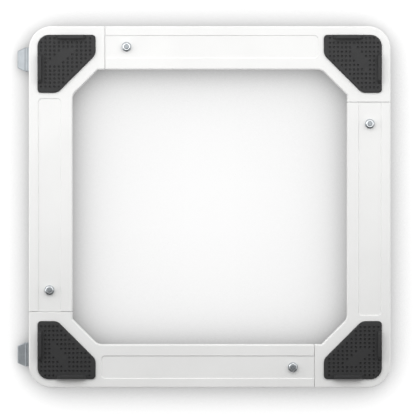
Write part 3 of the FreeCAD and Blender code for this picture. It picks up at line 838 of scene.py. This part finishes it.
# %% [markdown]
# ### Zinc-plated and rolled steel
#
# Nuts and screws are steel with bright zinc plating: a light blue-grey metal with small cloudy changes
# in gloss. Bolts and washers have the same plating, duller and darker. The tabs are rolled sheet, plated
# as well, and rolling leaves fine lines along them. A metal keeps the default IOR and gets its look from
# colour and roughness.

# %% Zinc plating
def make_zinc(name, dark, light, roughness):
    material, tree, shader = new_material(name)
    cloud = noise(tree, 3.5, detail=4)
    pits = noise(tree, 0.6, detail=2)
    bump = add(tree, "Bump", {"Height": pits.outputs["Fac"], "Strength": 0.15, "Distance": 0.03 * MM})
    tree.links.new(blend_colours(tree, cloud.outputs["Fac"], dark, light), shader.inputs["Base Color"])
    tree.links.new(spread(tree, cloud.outputs["Fac"], roughness, roughness + 0.12),
                   shader.inputs["Roughness"])
    tree.links.new(bump.outputs["Normal"], shader.inputs["Normal"])
    shader.inputs["Metallic"].default_value = 1
    return material


def make_sheet_steel():
    material, tree, shader = new_material("rolled_steel_sheet_satin_plated")
    lines = noise(tree, 0.7, detail=3, stretch=(0.06, 1, 1))
    cloud = noise(tree, 9, detail=3)
    bump = add(tree, "Bump", {"Height": lines.outputs["Fac"], "Strength": 0.12, "Distance": 0.03 * MM})
    steel = blend_colours(tree, cloud.outputs["Fac"], "#9CA1A5", "#A3A8AC")
    tree.links.new(steel, shader.inputs["Base Color"])
    tree.links.new(spread(tree, lines.outputs["Fac"], 0.26, 0.4), shader.inputs["Roughness"])
    tree.links.new(bump.outputs["Normal"], shader.inputs["Normal"])
    shader.inputs["Metallic"].default_value = 1
    return material


# %% Give every piece its finish
rails = [frame["nodes"][corner + "_rail"] for corner in CORNERS]
finish_with(rails, make_abs())
finish_with(placed["pad"], make_rubber(
    "moulded_epdm_pad", dark="#202021", light="#272728", grain_size=0.8, roughness=0.62))
finish_with(placed["foot"], make_rubber(
    "moulded_epdm_foot", dark="#1C1C1D", light="#232324", grain_size=1.1, roughness=0.72))
finish_with(placed["bright"], make_zinc(
    "bright_zinc_plated_steel", dark="#CDD1D4", light="#DEE1E3", roughness=0.13))
finish_with(placed["dull"], make_zinc(
    "dull_zinc_plated_steel", dark="#8D9296", light="#9EA3A7", roughness=0.32))
finish_with(placed["tab"], make_sheet_steel())

# %% [markdown]
# ## Floor, light and camera
#
# The frame lies on a pale floor that glows, with painted shade near the frame's walls and a painted glow
# that is weaker inside the closed frame and stronger outside it. Light comes from a wide softbox overhead,
# set back towards the rear, from a weaker softbox on the left, on the right and low at the front, and from
# a surround that is pale at the rear and dark at the front. The camera stands far above the middle with a
# long lens, so the frame looks almost flat, as in a catalogue plan view.

# %% Floor
# Pale paper that glows, so that it stays white under the frame's shadows; the glow is painted light, not
# a lamp. Close to a wall its colour and glow are darkened by painted shade, as deep as the part of the sky
# that the wall hides. The painted glow is a little weaker inside the closed frame and stronger outside it.
# This painted lift is fixed to the paper, so it doesn't follow the frame when that opens.
FLOOR_SIDE = 30
PAINTED_SHADE_REACH = 190 * MM
PAINTED_SHADE_POWER = 0.95
# Painted light and shade: the floor's glow is weaker inside the closed frame's outline and stronger outside
# it, set by position.
PAINTED_LIFT_FROM, PAINTED_LIFT_TO = 222 * MM, 306 * MM
PAINTED_LIFT_INSIDE, PAINTED_LIFT_OUTSIDE = 0.93, 1.17
bpy.ops.object.select_all(action="DESELECT")
bpy.ops.mesh.primitive_plane_add(size=FLOOR_SIDE, location=(0, 0, 0))
floor = settle("floor")
floor_material, floor_tree, floor_shader = new_material("matt_white_paper_with_painted_shade_and_glow")
openness = add(floor_tree, "AmbientOcclusion", {"Color": (1, 1, 1, 1), "Distance": PAINTED_SHADE_REACH}, samples=8)
# Painted shade: the floor's colour and glow are darkened near walls by how much of the sky the walls hide.
depth = add(floor_tree, "Math", {0: openness.outputs["AO"], 1: PAINTED_SHADE_POWER}, operation="POWER")
paper = add(floor_tree, "MixRGB", {"Fac": depth.outputs["Value"], "Color1": (0, 0, 0, 1),
                                   "Color2": colour("#7C7C7C")})
# Painted light: the floor's glow, darkened by the same painted shade.
glow_with_painted_shade = add(floor_tree, "MixRGB", {"Fac": depth.outputs["Value"], "Color1": (0, 0, 0, 1),
                                  "Color2": colour("#EAEAEA")})
here = add(floor_tree, "SeparateXYZ", {"Vector": add(floor_tree, "TexCoord").outputs["Object"]})
sideways = add(floor_tree, "Math", {0: here.outputs["X"]}, operation="ABSOLUTE")
lengthways = add(floor_tree, "Math", {0: here.outputs["Y"]}, operation="ABSOLUTE")
reach = add(floor_tree, "Math", {0: sideways.outputs["Value"], 1: lengthways.outputs["Value"]},
            operation="MAXIMUM")
# Painted light and shade: the glow's strength is set by distance from the middle, weaker inside the closed
# frame and stronger outside.
painted_lift = add(floor_tree, "MapRange", {"Value": reach.outputs["Value"], "From Min": PAINTED_LIFT_FROM,
                                    "From Max": PAINTED_LIFT_TO, "To Min": PAINTED_LIFT_INSIDE, "To Max": PAINTED_LIFT_OUTSIDE})
floor_tree.links.new(paper.outputs["Color"], floor_shader.inputs["Base Color"])
floor_tree.links.new(glow_with_painted_shade.outputs["Color"], floor_shader.inputs["Emission Color"])
floor_shader.inputs["Roughness"].default_value = 0.9
floor_tree.links.new(painted_lift.outputs["Result"], floor_shader.inputs["Emission Strength"])
finish_with([floor], floor_material)


# %% Lights
def add_softbox(name, place, aim, size, watts):
    data = bpy.data.lights.new(name, "AREA")
    data.shape = "RECTANGLE"
    data.size, data.size_y = size
    data.energy = watts
    light = bpy.data.objects.new(name, data)
    light.location = place
    light.rotation_mode = "QUATERNION"
    light.rotation_quaternion = (Vector(aim) - Vector(place)).to_track_quat("-Z", "Y")
    bpy.context.scene.collection.objects.link(light)


add_softbox(
    "overhead_softbox", place=(-0.2, 0.62, 1.05), aim=(-0.2, 0.62, 0), size=(3.0, 1.25), watts=17.5)
add_softbox("left_softbox", place=(-1.1, 0, 0.35), aim=(-0.25, 0, 0), size=(1.2, 0.4), watts=2.0)
add_softbox("right_softbox", place=(1.1, 0, 0.35), aim=(0.25, 0, 0), size=(1.2, 0.4), watts=1.2)
add_softbox("front_softbox", place=(0, -1.2, 0.22), aim=(0, -0.3, 0), size=(1.4, 0.3), watts=1.5)

# The surround is pale towards the rear and darker towards the front, so that small metal parts have
# something dark to reflect.
world = bpy.data.worlds.new("pale_surround")
world.use_nodes = True
surround = world.node_tree
direction = add(surround, "SeparateXYZ", {"Vector": add(surround, "TexCoord").outputs["Generated"]})
grade = add(surround, "MapRange", {"Value": direction.outputs["Y"], "From Min": -0.9, "From Max": 0.9,
                                   "To Min": 0.02, "To Max": 0.8})
surround.links.new(grade.outputs["Result"], surround.nodes["Background"].inputs["Strength"])
surround.nodes["Background"].inputs["Color"].default_value = (1, 1, 1, 1)
bpy.context.scene.world = world
bpy.context.scene.view_settings.view_transform = "Standard"

# %% Camera
CAMERA_HEIGHT = 9.0
FIELD = 690 * MM
CAMERA_SHIFT = Vector((-2.8 * MM, -1.7 * MM, 0))
middle = (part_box("rear_left_rail")[0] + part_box("front_right_rail")[1]) / 2
camera_data = bpy.data.cameras.new("plan_camera")
camera_data.lens = camera_data.sensor_width * (CAMERA_HEIGHT - rail_top) / FIELD
camera = bpy.data.objects.new("plan_camera", camera_data)
camera.location = Vector((middle.x, middle.y, CAMERA_HEIGHT)) + CAMERA_SHIFT
camera_data.clip_end = 100
bpy.context.scene.collection.objects.link(camera)
bpy.context.scene.camera = camera
